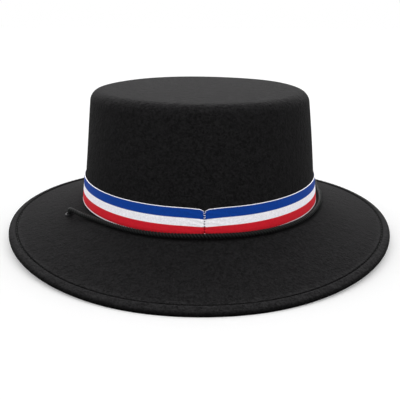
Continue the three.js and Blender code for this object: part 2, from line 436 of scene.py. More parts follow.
def felt_finish(colours):
    """Matte wool felt: matted fibres in three sizes tint and roughen the surface, and the piece's
    own attribute paints shade into it, darker in the stitched groove and along the lower edge, with
    a painted highlight on the hem's top."""
    finish = Finish("wool_felt", Specular_IOR_Level=0.018, Sheen_Weight=0.012, Sheen_Roughness=0.4)
    place = finish.place()
    fibre = finish.noise(place, scale=1300, detail=2, roughness=0.6)
    tuft = finish.noise(place, scale=560, detail=2)
    mat = finish.noise(place, scale=200, detail=2)
    matted = finish.step(fibre * 0.45 + tuft * 0.4 + mat * 0.15, 0.34, 0.66)
    # Painted shade and painted highlight from the piece's own attribute scale the matted tone
    tone = (matted * 1.1 + 0.45) * (1 - finish.attribute("shade"))
    finish.colour(finish.shaded(colours.felt, tone))
    finish.roughness(0.3 + tuft * 0.6 + fibre * 0.3 + mat * 0.3)
    finish.bump(fibre * 0.5 + tuft + mat * 1.2, distance=0.0009)
    return finish.material


def ribbon_finish(colours, height, seam_at):
    """Ribbed weave in three stripes between two white edges, read from the ribbon's own map, with
    painted shade in the valleys of its ribs and picks. Painted shade darkens a narrow band each
    side of the seam, where its crease is, and more between the seam's stitches, where a cosine wave
    of the seam's pitch is low; slanting waves of painted light and shade near it stand for its
    puckers."""
    finish = Finish("woven_ribbon", Specular_IOR_Level=0.05)
    along, across = finish.uv()
    rib = (along * (2 * math.pi * height / RIB_PITCH)).sine()
    pick = (across * (2 * math.pi * height / PICK_PITCH) + rib * 1.2).sine()
    grain = finish.noise(finish.place(), scale=1000, detail=4, roughness=0.7)

    edge = across + rib * 0.004
    border = edge + rib * 0.002
    bands = (
        (edge, RED_TOP - STRIPE_BLUR, RED_TOP + STRIPE_BLUR, colours.white),
        (edge, WHITE_TOP - STRIPE_BLUR, WHITE_TOP + STRIPE_BLUR, colours.blue),
        (border, *UPPER_EDGE, colours.white),
        (border, *LOWER_EDGE, colours.white),
    )
    stripes = colours.red
    for height_share, start, full, colour in bands:
        stripes = finish.mix(finish.step(height_share, start, full), stripes, colour)

    from_seam = along - seam_at
    # Painted shade in the seam's crease, deeper between its stitches
    near = 1 - finish.step(from_seam.absolute(), 0.008, 0.032)
    phase = (across - SEAM_STITCHES[0]) * (2 * math.pi / SEAM_PITCH)
    hole = finish.step((phase + math.pi / 2).sine(), 0.3, -0.8)
    # Painted light and shade of the puckers beside the seam
    pucker_light_and_shade = ((across * 6 + from_seam * 1.2 + grain * 0.3) * (2 * math.pi)).sine()
    pucker = 1 - finish.step(from_seam.absolute(), 0.1, 1.1)
    # The ribs and picks add painted shade in the weave's valleys; the grain is the cloth's own tone
    tone = 0.62 + rib * 0.05 + pick * 0.03 + grain * 0.72 - pucker * pucker_light_and_shade * 0.09
    finish.colour(finish.shaded(stripes, tone * (1 - near * (0.2 + hole * 0.65))))
    finish.roughness(0.5 + grain * 0.2)
    finish.bump(rib * 0.6 + pick * 0.3 + grain * 0.3, distance=0.00012, strength=0.8)
    return finish.material


def yarn_finish(name, colour):
    """Twisted yarn, from the piece's own map: a painted highlight along the crest of each of the
    three strands and painted shade between them, with fine fibres that lie across the twist."""
    finish = Finish(name, Specular_IOR_Level=0.08)
    along, around = finish.uv()
    strand = ((around - along) * 3 + 0.5).fraction()
    crest = 1 - (strand - 0.5).absolute() * 2
    fibre = ((along * 10 + around * 3) * (2 * math.pi)).sine()
    grain = finish.noise(finish.place(), scale=3000, roughness=0.6)
    # Painted highlight along each strand's crest and painted shade between the strands; the fibres
    # and grain are the yarn's own tone
    tone = (0.02 + crest ** 3 * 3.7) * (0.75 + fibre * 0.1 + grain * 0.5)
    finish.colour(finish.shaded(colour, tone))
    finish.roughness(0.42 + grain * 0.25)
    finish.bump(fibre * 0.5 + grain * 0.6, distance=0.00008, strength=0.8)
    return finish.material


def enamel_finish(colours):
    """Glossy black enamel on metal, a little worn."""
    finish = Finish("black_enamel", Specular_IOR_Level=0.05)
    grain = finish.noise(finish.place(), scale=900, roughness=0.6)
    finish.colour(finish.shaded(colours.enamel, 0.7 + grain * 0.8))
    finish.roughness(0.15 + grain * 0.16)
    finish.bump(grain, distance=0.00003, strength=0.5)
    return finish.material


def thread_finish(name, colour):
    """Plain sewing thread with a fine grain."""
    finish = Finish(name, Specular_IOR_Level=0.05)
    grain = finish.noise(finish.place(), scale=4000, roughness=0.6)
    finish.colour(finish.shaded(colour, 0.6 + grain * 0.8))
    finish.roughness(0.4 + grain * 0.3)
    finish.bump(grain, distance=0.00005, strength=0.6)
    return finish.material


def unit(vectors):
    """The vectors divided by their lengths."""
    return vectors / np.linalg.norm(vectors, axis=-1, keepdims=True)


def line(start, end):
    """A straight line in each section's plane: a point and a unit direction."""
    return start, unit(end - start)


def left_of(along):
    """The direction a quarter turn to the left of one in the section's plane."""
    return np.stack([-along[..., 1], along[..., 0]], axis=-1)


def shifted(a, distance):
    """The line moved to the left of its direction by a distance."""
    start, along = a
    return start + left_of(along) * distance, along


def turned_area(a, b):
    """The area between two directions, positive where the second lies to the left of the first."""
    return a[..., 0] * b[..., 1] - a[..., 1] * b[..., 0]


def meet(a, b):
    """Where two lines cross: the first one's point, moved on by its run to the other."""
    run = turned_area(b[0] - a[0], b[1]) / turned_area(a[1], b[1])
    return a[0] + a[1] * run[..., None]


def point_at(a, out):
    """The line's point at a distance out from the crown's foot."""
    run = (out - a[0][..., 0]) / a[1][..., 0]
    return a[0] + a[1] * run[..., None]


def rounded_corner(before, corner, after, radius, steps):
    """Rows on an arc that touches both sides of a corner: the arc's centre lies on the line that
    halves the corner, and each row turns the first touching point about it by an equal share."""
    back = unit(before - corner)
    ahead = unit(after - corner)
    half = np.arccos(np.clip((back * ahead).sum(-1), -1, 1)) / 2
    centre = corner + unit(back + ahead) * (radius / np.sin(half))[..., None]
    reach = (radius / np.tan(half))[..., None]
    first = corner + back * reach - centre
    last = corner + ahead * reach - centre
    sweep = np.sign(turned_area(first, last)) * (math.pi - 2 * half)
    turn = np.linspace(0, 1, steps + 1)[:, None] * sweep
    x = first[..., 0] * np.cos(turn) - first[..., 1] * np.sin(turn)
    y = first[..., 0] * np.sin(turn) + first[..., 1] * np.cos(turn)
    return centre + np.stack([x, y], axis=-1)


def straight(start, end, count):
    """Rows evenly between two points, without the points themselves."""
    share = np.linspace(0, 1, count + 2)[1:-1, None, None]
    return start + (end - start) * share


def share_between(angle, side, front):
    """The side value times cosine squared plus the front value times sine squared."""
    return side * np.cos(angle) ** 2 + front * np.sin(angle) ** 2


def section_lines(angle, sizes):
    """The lines of the felt's section at each angle; x is the distance out from the crown's foot.
    The edge of the brim is level while the cosine of the angle is small, then rises to the sides
    with a power of what the cosine has left to go."""
    inset = share_between(
        angle, sizes.crown_width - sizes.top_width, sizes.crown_depth - sizes.top_depth
    ) / 2
    reach = share_between(
        angle, sizes.brim_width - sizes.crown_width, sizes.brim_depth - sizes.crown_depth
    ) / 2
    rise = np.maximum(0, (np.abs(np.cos(angle)) - REST_SHARE) / (1 - REST_SHARE))
    lift = sizes.side_lift * rise ** LIFT_POWER
    zero = np.zeros_like(angle)
    foot = np.stack([zero, zero + sizes.foot_height], axis=-1)
    corner = np.stack([-inset, zero + sizes.crown_top], axis=-1)
    top_start = np.stack([-inset - sizes.shoulder, zero + sizes.crown_top], axis=-1)
    brim_end = np.stack([reach - REST_WIDTH, lift + sizes.felt], axis=-1)
    edge_top = np.stack([reach, zero + sizes.crown_top], axis=-1)
    edge_foot = np.stack([reach, lift], axis=-1)
    return {
        "hem": reach - share_between(angle, sizes.hem_side, sizes.hem_width),
        "top": line(top_start, corner),
        "side": line(corner, foot),
        "brim": line(foot, brim_end),
        "rest": line(edge_foot, np.stack([zero, lift], axis=-1)),
        "edge": line(edge_top, edge_foot),
    }


def stitch_count(sizes):
    """How many stitches of the pitch go round the middle of the hem's groove."""
    girth = math.pi * (sizes.brim_width + sizes.brim_depth) / 2 - 2 * math.pi * sizes.hem_width
    return round(girth / sizes.stitch_pitch)


def groove_sink(angle, sizes):
    """How far the groove is sunk at each angle: a cosine wave that is deepest at each stitch."""
    return sizes.groove_depth * (0.75 + 0.25 * np.cos(angle * stitch_count(sizes)))


def groove_line(angle, sizes):
    """The floor of the groove at each angle, in the section's plane."""
    lines = section_lines(angle, sizes)
    floor = point_at(lines["brim"], lines["hem"] - sizes.groove_width / 2)
    floor[..., 1] += sizes.hem_raise / 2 - groove_sink(angle, sizes)
    return floor


def felt_section(angle, sizes):
    """The felt's section as rows, from the shoulder down the crown, out over the brim and its hem,
    round the edge and back inside, and each row's painted shade: darker in the groove, along the
    lower edge and under it, with a painted highlight on the hem's top and the groove's lips. The
    groove is a full cosine wave deep, drawn in at each stitch, and the hem's top is half a sine
    wave proud."""
    lines = section_lines(angle, sizes)
    brim = lines["brim"]
    hem = shifted(brim, sizes.hem_raise)
    inside_top = shifted(lines["top"], -sizes.felt)
    inside_side = shifted(lines["side"], -sizes.felt)
    under = shifted(brim, -sizes.felt)
    stitch = np.cos(angle * stitch_count(sizes))

    shoulder = meet(lines["top"], lines["side"])
    foot = meet(lines["side"], brim)
    groove_start = point_at(brim, lines["hem"] - sizes.groove_width)
    hem_start = point_at(hem, lines["hem"])
    hem_edge = meet(hem, lines["edge"])
    heel = meet(lines["edge"], lines["rest"])
    rest_end = meet(lines["rest"], under)
    inside_foot = meet(under, inside_side)
    inside_shoulder = meet(inside_side, inside_top)

    rim = rounded_corner(lines["top"][0], shoulder, foot, sizes.shoulder, steps=12)
    fillet = rounded_corner(shoulder, foot, groove_start, FOOT_FILLET, steps=3)
    share = np.linspace(0, 1, GROOVE_ROWS)[:, None]
    wave = 0.5 * (1 - np.cos(2 * math.pi * share))
    groove = groove_start + (hem_start - groove_start) * share[..., None]
    groove[..., 1] -= wave * groove_sink(angle, sizes)
    # Painted shade, deepest at the bottom of the groove, with a painted highlight on its lips
    groove_painted_shade = np.minimum(wave * (1.5 + 0.2 * stitch) + HEM_PAINTED_HIGHLIGHT, GROOVE_SHADE)
    edge = rounded_corner(hem_start, hem_edge, heel, EDGE_RADIUS, steps=7)
    # Painted shade along the rolled edge: a little lighter at its top, darker towards the floor
    edge_painted_shade = np.linspace(*EDGE_SHADES, len(edge))[:, None]
    band = straight(hem_start, edge[0], HEM_ROWS)
    swell = np.linspace(0, 1, HEM_ROWS + 2)[1:-1, None]
    band[..., 1] += HEM_SWELL * np.sin(math.pi * swell ** 0.85) * (1 - 0.2 * stitch)
    base = rounded_corner(hem_edge, heel, rest_end, HEEL_RADIUS, steps=3)
    inner_foot = rounded_corner(
        rest_end, inside_foot, inside_shoulder, FOOT_FILLET + sizes.felt, steps=5
    )
    inner_rim = rounded_corner(
        inside_foot, inside_shoulder, inside_top[0], sizes.shoulder - sizes.felt, steps=7
    )
    parts = [
        (rim, 0),
        (straight(rim[-1], fillet[0], OUTSIDE_ROWS), 0),
        (fillet, 0),
        (straight(fillet[-1], groove_start, OUTSIDE_ROWS), 0),
        (groove, groove_painted_shade),
        (band, HEM_PAINTED_HIGHLIGHT),
        (edge, edge_painted_shade),
        (base, HEEL_SHADE),
        (rest_end[None], 0),
        (straight(rest_end, inner_foot[0], INSIDE_ROWS), 0),
        (inner_foot, 0),
        (straight(inner_foot[-1], inner_rim[0], INSIDE_ROWS), 0),
        (inner_rim, 0),
    ]
    rows = np.concatenate([part for part, shade in parts])
    shades = np.concatenate([np.broadcast_to(shade, part.shape[:2]) for part, shade in parts])
    return rows, shades


def placed(section, angle, sizes):
    """A section's rows in the hat's frame: its distance out widens the crown's ellipse."""
    x = (sizes.crown_width / 2 + section[..., 0]) * np.cos(angle)
    y = (sizes.crown_depth / 2 + section[..., 0]) * np.sin(angle)
    return np.stack([x, y, section[..., 1] + np.zeros_like(angle)], axis=-1)


def softened(points, sizes):
    """Soft felt is never quite true: the crown's side swells and sinks by a sum of waves in angle
    and height, and its top by waves across it, both fading out near the crown's foot."""
    x, y, z = points[..., 0], points[..., 1], points[..., 2]
    angle = np.arctan2(y, x)
    over_ribbon = z - sizes.foot_height - sizes.ribbon_height
    above = np.clip(over_ribbon / (sizes.crown_top - sizes.foot_height), 0, 1)
    swell = sum(
        strength * np.sin(waves * angle + rise * z + phase)
        for strength, waves, rise, phase in SIDE_WAVES
    )
    never_zero = 1e-9
    spread = 1 + SIDE_WANDER * swell * above ** 0.6 / (np.hypot(x, y) + never_zero)
    drop = TOP_WANDER * (np.sin(42 * x + 0.4) * np.sin(37 * y + 1.2) - 0.4) * above ** 3
    return np.stack([x * spread, y * spread, z + drop], axis=-1)


def object_from(name, vertices, faces, finish, uvs=None, shades=None):
    """A smooth-shaded mesh object at the origin, with a map value for each corner of each face, or
    with a value for each point of painted shade: how much darker it is drawn, and lighter below
    zero."""
    mesh = bpy.data.meshes.new(name)
    mesh.from_pydata(vertices.reshape(-1, 3).tolist(), [], faces)
    if uvs is not None:
        layer = mesh.uv_layers.new(name="UVMap")
        layer.data.foreach_set("uv", uvs.astype(np.float32).ravel())
    if shades is not None:
        layer = mesh.attributes.new("shade", "FLOAT", "POINT")
        layer.data.foreach_set("value", shades.astype(np.float32))
    mesh.shade_smooth()
    mesh.materials.append(finish)
    piece = bpy.data.objects.new(name, mesh)
    bpy.context.scene.collection.objects.link(piece)
    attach(piece, BODY)
    return piece


def grid_faces(rows, columns, close_rows=False):
    """Quads between neighbouring rows and columns. The columns wrap round, and the rows too where
    they are closed."""
    row = np.arange(rows if close_rows else rows - 1)[:, None]
    column = np.arange(columns)[None, :]
    next_row, next_column = (row + 1) % rows, (column + 1) % columns
    corners = [
        row * columns + column, next_row * columns + column,
        next_row * columns + next_column, row * columns + next_column,
    ]
    return np.stack(np.broadcast_arrays(*corners), axis=-1).reshape(-1, 4)


def grid_uvs(rows, columns, along, across, close_rows=False):
    """The map of the same quads: along has a value for each column and one more for the wrapped
    end, and across has a value for each row in the same way."""
    row = np.arange(rows if close_rows else rows - 1)[:, None]
    column = np.arange(columns)[None, :]
    pairs = [(row, column), (row + 1, column), (row + 1, column + 1), (row, column + 1)]
    corners = [np.stack(np.broadcast_arrays(along[c], across[r]), axis=-1) for r, c in pairs]
    return np.stack(corners, axis=-2)


def fan_faces(pole, ring, flip=False):
    """Triangles from a pole to each side of a closed ring of vertices."""
    following = np.roll(ring, -1)
    pair = (following, ring) if flip else (ring, following)
    return np.stack([np.full_like(ring, pole), *pair], axis=-1)


def smooth_path(points, per_span):
    """A centripetal Catmull-Rom curve through the points: each span is a cubic whose end slopes
    come from its neighbours, weighted by the square roots of the distances between them."""
    start, end = points[:-1], points[1:]
    before = np.vstack([2 * points[0] - points[1], points[:-2]])
    after = np.vstack([points[2:], 2 * points[-1] - points[-2]])

    def root(a, b):
        return np.sqrt(np.linalg.norm(b - a, axis=1))[:, None]

    def middle_slope(a, b, c):
        """The slope at b of the curve through three points, from the slopes of its chords."""
        return (b - a) / root(a, b) - (c - a) / (root(a, b) + root(b, c)) + (c - b) / root(b, c)

    slope_in = middle_slope(before, start, end) * root(start, end)
    slope_out = middle_slope(start, end, after) * root(start, end)
    u = np.linspace(0, 1, per_span, endpoint=False)[None, :, None]
    cubic = (
        start[:, None]
        + slope_in[:, None] * u
        + (3 * (end - start) - 2 * slope_in - slope_out)[:, None] * u ** 2
        + (2 * (start - end) + slope_in + slope_out)[:, None] * u ** 3
    )
    return np.vstack([cubic.reshape(-1, 3), points[-1:]])


def evenly_spaced(path, spacing):
    """The path with its points an equal distance apart, and the distance of each from its start."""
    run = np.concatenate([[0], np.cumsum(np.linalg.norm(np.diff(path, axis=0), axis=1))])
    along = np.linspace(0, run[-1], max(2, round(run[-1] / spacing)) + 1)
    return np.stack([np.interp(along, run, path[:, i]) for i in range(3)], axis=1), along


def strand_radius(turn, radius, strand):
    """The outline of three round strands laid together. A strand's own radius is a share of the
    cord's, its middle lies the rest of the way out, and at an angle from that middle the outline is
    the far crossing of the strand's circle."""
    third = 2 * math.pi / 3
    away = np.mod(turn + third / 2, third) - third / 2
    middle = 1 - strand
    return radius * (middle * np.cos(away) + np.sqrt(strand ** 2 - (middle * np.sin(away)) ** 2))


def swept(name, path, along, outward, radius_at, sides, finish, map_length):
    """A tube along a path: each ring's points stand off the path by radius_at(turn, along), in the
    plane of the outward direction and the one square to it and to the path. The map has the run
    along the path in lengths of a twist, and the turn round it."""
    forward = unit(np.gradient(path, axis=0))
    normal = unit(outward - (outward * forward).sum(-1, keepdims=True) * forward)
    side = np.cross(forward, normal)
    turn = np.linspace(0, 2 * math.pi, sides, endpoint=False)
    radius = radius_at(turn, along[:, None])
    cosine, sine = np.cos(turn)[:, None], np.sin(turn)[:, None]
    rings = path[:, None] + (normal[:, None] * cosine + side[:, None] * sine) * radius[..., None]
    count = len(path)
    vertices = np.vstack([rings.reshape(-1, 3), path[:1], path[-1:]])
    quads = grid_faces(count, sides)[:, ::-1]
    ends = np.arange(sides)
    first = fan_faces(count * sides, ends, flip=True)
    last = fan_faces(count * sides + 1, ends + (count - 1) * sides)
    uvs = grid_uvs(count, sides, np.linspace(0, 1, sides + 1), along / map_length)[..., ::-1, :]
    uvs = uvs.reshape(-1, 2)[:, ::-1]
    caps = np.zeros((2 * sides * 3, 2))
    faces = quads.tolist() + first.tolist() + last.tolist()
    return object_from(name, vertices, faces, finish, np.vstack([uvs, caps]))


def eyelet_seat(name, sizes):
    """An eyelet's middle, the direction out along the brim and the one square to it."""
    low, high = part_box(name)
    middle = np.array((low + high) / 2)
    angle = math.atan2(middle[1], middle[0])
    slope = section_lines(np.array([angle]), sizes)["brim"][1][0]
    outward = unit(np.array([math.cos(angle) * slope[0], math.sin(angle) * slope[0], slope[1]]))
    around = unit(np.cross(UPRIGHT, outward))
    return middle, outward, np.cross(outward, around)


def tube_of_revolution(name, outline, seat, sides, finish):
    """An outline of distances from and along a seat's axis, turned once round it and closed on
    itself."""
    middle, outward, square = seat
    turn = np.linspace(0, 2 * math.pi, sides, endpoint=False)[:, None]
    ring = np.cos(turn) * outward + np.sin(turn) * np.cross(square, outward)
    rings = middle + outline[:, None, :1] * ring + outline[:, None, 1:] * square
    faces = grid_faces(len(outline), sides, close_rows=True)
    return object_from(name, rings, faces.tolist(), finish)


def arch(share):
    """The height of a half circle over its ends at -1 and 1."""
    return np.sqrt(np.clip(1 - share ** 2, 0, 1))


def threads(name, centre, radius, outward, sides, finish):
    """Many like threads as one mesh. Each is a tube along its row of centres, closed at both ends,
    whose rings lie in the plane of the outward direction and the upright one."""
    count, rings = centre.shape[:2]
    turn = np.linspace(0, 2 * math.pi, sides, endpoint=False)[:, None]
    ring = outward * np.cos(turn) + UPRIGHT * np.sin(turn)
    points = centre[:, :, None] + ring * radius[:, None, None]
    size = rings * sides
    first = np.arange(count)[:, None] * size
    quads = (grid_faces(rings, sides) + first[..., None]).reshape(-1, 4)
    start = first + np.arange(sides)
    end = start + size - sides
    faces = quads.tolist() + start[:, ::-1].tolist() + end.tolist()
    return object_from(name, points, faces, finish)


def seam_angle(sizes):
    """Where the ribbon's seam is: the angle whose sine is its distance from the middle in radii of
    the crown, past the very front."""
    return 1.5 * math.pi + math.asin(sizes.seam_across / (sizes.crown_depth / 2))


def ribbon_point(angle, height_share, offset, sizes):
    """A point of the ribbon: out from the crown's side by an offset, at a share of its height. At
    the seam the ribbon is pulled down in a bell curve, its top edge falls further in a notch with
    rounded corners, and it sinks in a narrow crease."""
    start, along = section_lines(angle, sizes)["side"]
    arc = (angle - seam_angle(sizes)) * sizes.crown_depth / 2
    notch = sizes.notch_depth * np.clip(1 - np.abs(arc) / (sizes.notch_width / 2), 0, 1) ** 1.6
    sag = SAG_DEPTH * np.exp(-((arc / SAG_REACH) ** 2))
    phase = 2 * math.pi * (height_share - SEAM_STITCHES[0]) / SEAM_PITCH
    crease = CREASE_DEPTH * (1 - 0.5 * np.cos(phase)) * np.exp(-((arc / CREASE_REACH) ** 2))
    bottom = sizes.foot_height + RIBBON_LIFT + RIBBON_DIP * np.cos(2 * angle)
    drop = notch * height_share ** 3 + sag * height_share ** 0.5
    height = bottom + sizes.ribbon_height * height_share - drop
    face = start + left_of(along) * (offset - crease)[..., None]
    run = (height - face[..., 1]) / along[..., 1]
    return placed(face + along * run[..., None], angle, sizes)


class HAT_OT_camera(bpy.types.Operator):
    """Set the camera where the photograph was taken from"""

    bl_idname = "hat.camera"
    bl_label = "Camera"
    bl_options = {"REGISTER", "UNDO"}

    def execute(self, context):
        """The camera is rolled, tilted down from level and moved to its place, and shifted by how
        far its axis meets the photograph from the middle."""
        data = bpy.data.cameras.new("photo_camera")
        data.sensor_width = CAMERA_FILM
        data.lens = CAMERA_LENS
        data.shift_x = 0.5 - AXIS_ACROSS / PHOTO_SIZE
        data.shift_y = AXIS_DOWN / PHOTO_SIZE - 0.5
        data.clip_start = 0.01
        camera = bpy.data.objects.new("photo_camera", data)
        tilt = Matrix.Rotation(math.pi / 2 - CAMERA_PITCH, 4, "X")
        roll = Matrix.Rotation(CAMERA_ROLL, 4, "Z")
        camera.matrix_world = Matrix.Translation(CAMERA_PLACE) @ tilt @ roll
        context.scene.collection.objects.link(camera)
        context.scene.camera = camera
        return {"FINISHED"}


class HAT_OT_cord(bpy.types.Operator):
    """Twist the chin cord along its route and tie its ends in a knot"""

    bl_idname = "hat.cord"
    bl_label = "Chin cord"
    bl_options = {"REGISTER", "UNDO"}

    def execute(self, context):
        """The path is the smooth curve through the route, kept up off the floor, and raised over
        the ribbon's seam in a bell curve. Three strands turn about it once in the cord's lay."""
        sizes, colours = context.scene.hat_sizes, context.scene.hat_colours
        finish = yarn_finish("cord_yarn", colours.cord)
        path, along = evenly_spaced(smooth_path(CORD_ROUTE, SPAN_STEPS), CORD_STEP)
        path[:, 2] = np.maximum(path[:, 2], sizes.cord_width * LYING_SHARE)
        over_seam = np.exp(-(((path[:, 0] - sizes.seam_across) / SEAM_LIFT_REACH) ** 2))
        in_front = path[:, 1] < -sizes.crown_width * FRONT_SHARE
        path[:, 2] += np.where(in_front, SEAM_LIFT * over_seam, 0)
        outward = unit(path * (1, 1, 0))
        radius = sizes.cord_width / 2 * CREST_SHARE

        def radius_at(turn, run):
            return strand_radius(turn - run * 2 * math.pi / sizes.cord_lay, radius, CORD_STRAND)

        cord = swept(
            "chin_cord_twist", path, along, outward, radius_at, CORD_SIDES, finish, sizes.cord_lay
        )
        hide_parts("chin_cord")
        knot = self.knot(sizes, finish)
        return {"FINISHED"}

    def knot(self, sizes, finish):
        """A barrel of close wraps: a helix about the line between the cord's two ends, whose first
        and last quarter turn sink to that line."""
        low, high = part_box("cord_knot")
        middle = np.array((low + high) / 2)
        axis = unit(CORD_ROUTE[-1] - CORD_ROUTE[0])
        aside = np.cross(axis, UPRIGHT)
        reach = (high.z - low.z) / 2 - KNOT_WIRE
        share = np.linspace(0, 1, KNOT_RINGS)[:, None]
        turn = share * KNOT_WRAPS * 2 * math.pi
        sink = np.clip(np.minimum(share, 1 - share) * KNOT_WRAPS * 4, 0, 1)
        around = UPRIGHT * np.cos(turn) + aside * np.sin(turn)
        off_axis = KNOT_CORE + (reach - KNOT_CORE) * np.sqrt(sink)
        length = KNOT_WRAPS * KNOT_PITCH * KNOT_WIRE
        path = middle + axis * (share - 0.5) * length + around * off_axis
        run = turn[:, 0] * reach

        def radius_at(angle, distance):
            twist = distance * 2 * math.pi / sizes.cord_lay
            return strand_radius(angle - twist, KNOT_WIRE, KNOT_STRAND)

        # The axis counts a little, for the ends, where the path runs straight outwards
        outward = around + axis * 0.01
        piece = swept(
            "cord_knot_wraps", path, run, outward, radius_at, KNOT_SIDES, finish, sizes.cord_lay
        )
        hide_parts("cord_knot")
        return piece


class HAT_OT_felt(bpy.types.Operator):
    """Block the felt crown and brim"""

    bl_idname = "hat.felt"
    bl_label = "Felt crown and brim"
    bl_options = {"REGISTER", "UNDO"}

    def execute(self, context):
        """The section is carried round the crown's ellipse, and closed at the top and the ceiling
        by rings that shrink to a pole. Each stitch of the hem has the same few columns."""
        sizes, colours = context.scene.hat_sizes, context.scene.hat_colours
        columns = STITCH_COLUMNS * stitch_count(sizes)
        angle = np.linspace(0, 2 * math.pi, columns, endpoint=False)
        section, shades = felt_section(angle, sizes)
        skin = placed(section, angle, sizes)
        flat = np.array([1, 1, 0])
        top = skin[:1] * (flat * TOP_RINGS + (1 - flat))
        ceiling = skin[-1:] * (flat * TOP_RINGS[::-1] + (1 - flat))
        rows = np.concatenate([top, skin, ceiling])
        bare = np.zeros(len(top) * columns)
        shades = np.concatenate([bare, shades.ravel(), bare, [0, 0]])
        poles = np.array([[0, 0, rows[0, 0, 2]], [0, 0, rows[-1, 0, 2]]])
        vertices = softened(np.vstack([rows.reshape(-1, 3), poles]), sizes)
        count = len(rows)
        ring = np.arange(columns)
        faces = grid_faces(count, columns).tolist()
        faces += fan_faces(count * columns, ring).tolist()
        faces += fan_faces(count * columns + 1, ring + (count - 1) * columns, flip=True).tolist()
        finish = felt_finish(colours)
        piece = object_from("felt_crown_and_brim", vertices, faces, finish, shades=shades)
        self.drill(piece, sizes)
        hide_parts("felt_body")
        return {"FINISHED"}

    def drill(self, piece, sizes):
        """Cuts the two holes of the eyelets through the brim, each a plain cylinder."""
        hole = sizes.eyelet_bore / 2 + EYELET_WALL + DRILL_GAP
        outline = np.array([
            [0, -DRILL_REACH], [hole, -DRILL_REACH], [hole, DRILL_REACH], [0, DRILL_REACH],
        ])
        for name in EYELETS:
            seat = eyelet_seat(name, sizes)
            felt = piece.data.materials[0]
            cutter = tube_of_revolution("drill", outline, seat, DRILL_SIDES, felt)
            cut = piece.modifiers.new("hole", "BOOLEAN")
            cut.operation = "DIFFERENCE"
            cut.solver = "EXACT"
            cut.object = cutter
            chosen = {"object": piece, "active_object": piece, "selected_objects": [piece]}
            with bpy.context.temp_override(**chosen):
                bpy.ops.object.modifier_apply(modifier=cut.name)
            bpy.data.objects.remove(cutter)


class HAT_OT_hem_stitches(bpy.types.Operator):
    """Sew the stitches that hold the turned hem"""

    bl_idname = "hat.hem_stitches"
    bl_label = "Hem stitches"
    bl_options = {"REGISTER", "UNDO"}

    def execute(self, context):
        """Each stitch is a short thread on the groove's floor that dips at both ends: its height
        follows a half circle, and its thickness is a little less at the ends."""
        sizes, colours = context.scene.hat_sizes, context.scene.hat_colours
        count = stitch_count(sizes)
        pitch = 2 * math.pi / count
        share = np.linspace(-1, 1, HEM_THREAD_RINGS)
        middle = np.arange(count)[:, None] * pitch
        angle = (middle + share * pitch * HEM_STITCH_REACH).ravel()
        floor = placed(groove_line(angle, sizes), angle, sizes)
        centre = floor.reshape(count, len(share), 3)
        centre[..., 2] += HEM_THREAD_ARCH * arch(share) + HEM_THREAD_LIFT
        radius = HEM_THREAD * (1 - 0.35 * np.abs(share) ** 3)
        outward = np.stack([np.cos(angle), np.sin(angle), np.zeros_like(angle)], axis=-1)
        outward = outward.reshape(count, len(share), 1, 3)
        finish = thread_finish("hem_thread", colours.cord)
        piece = threads("hem_stitches", centre, radius, outward, HEM_THREAD_SIDES, finish)
        return {"FINISHED"}


class HAT_OT_ribbon(bpy.types.Operator):
    """Wrap the woven ribbon round the foot of the crown"""

    bl_idname = "hat.ribbon"
    bl_label = "Ribbon"
    bl_options = {"REGISTER", "UNDO"}

    def execute(self, context):
        """The ribbon's section is a closed loop: up the outer face, over the woven edge, down the
        inner face and back. Both edges are a little thicker than the middle, in a bell curve."""
        sizes, colours = context.scene.hat_sizes, context.scene.hat_colours
        seam = seam_angle(sizes)
        fine = seam + np.linspace(-FINE_REACH, FINE_REACH, FINE_COLUMNS)
        coarse = np.linspace(0, 2 * math.pi, RIBBON_COLUMNS, endpoint=False)
        coarse = coarse[np.abs(coarse - seam) > FINE_REACH + FINE_MARGIN]
        angle = np.sort(np.concatenate([coarse, fine]))
        from_bead = np.minimum(ROWS_UP, 1 - ROWS_UP) / EDGE_BEAD_REACH - 1
        outer = RIBBON_OUTSIDE - EDGE_BEAD * (1 - np.exp(-from_bead ** 2))
        inner = np.full_like(ROWS_DOWN, RIBBON_OUTSIDE - sizes.ribbon_wall)
        middle = RIBBON_OUTSIDE - sizes.ribbon_wall / 2
        shares = np.concatenate([ROWS_UP, [1.0], ROWS_DOWN, [0.0]])
        offsets = np.concatenate([outer, [middle], inner, [middle]])
        offsets = np.broadcast_to(offsets[:, None], (len(shares), len(angle)))
        points = ribbon_point(angle[None, :], shares[:, None], offsets, sizes)
        faces = grid_faces(len(shares), len(angle), close_rows=True)[:, ::-1]

        girth = math.pi * (sizes.crown_width + sizes.crown_depth) / 2
        heights_round = girth / sizes.ribbon_height / (2 * math.pi)
        along = np.append(angle, angle[0] + 2 * math.pi) * heights_round
        across = np.append(shares, shares[0])
        uvs = grid_uvs(len(shares), len(angle), along, across, close_rows=True)
        seam_along = seam % (2 * math.pi) * heights_round
        finish = ribbon_finish(colours, sizes.ribbon_height, seam_along)
        piece = object_from(
            "woven_ribbon", softened(points, sizes), faces.tolist(), finish,
            uvs.reshape(-1, 4, 2)[:, ::-1],
        )
        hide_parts("ribbon_band")
        return {"FINISHED"}


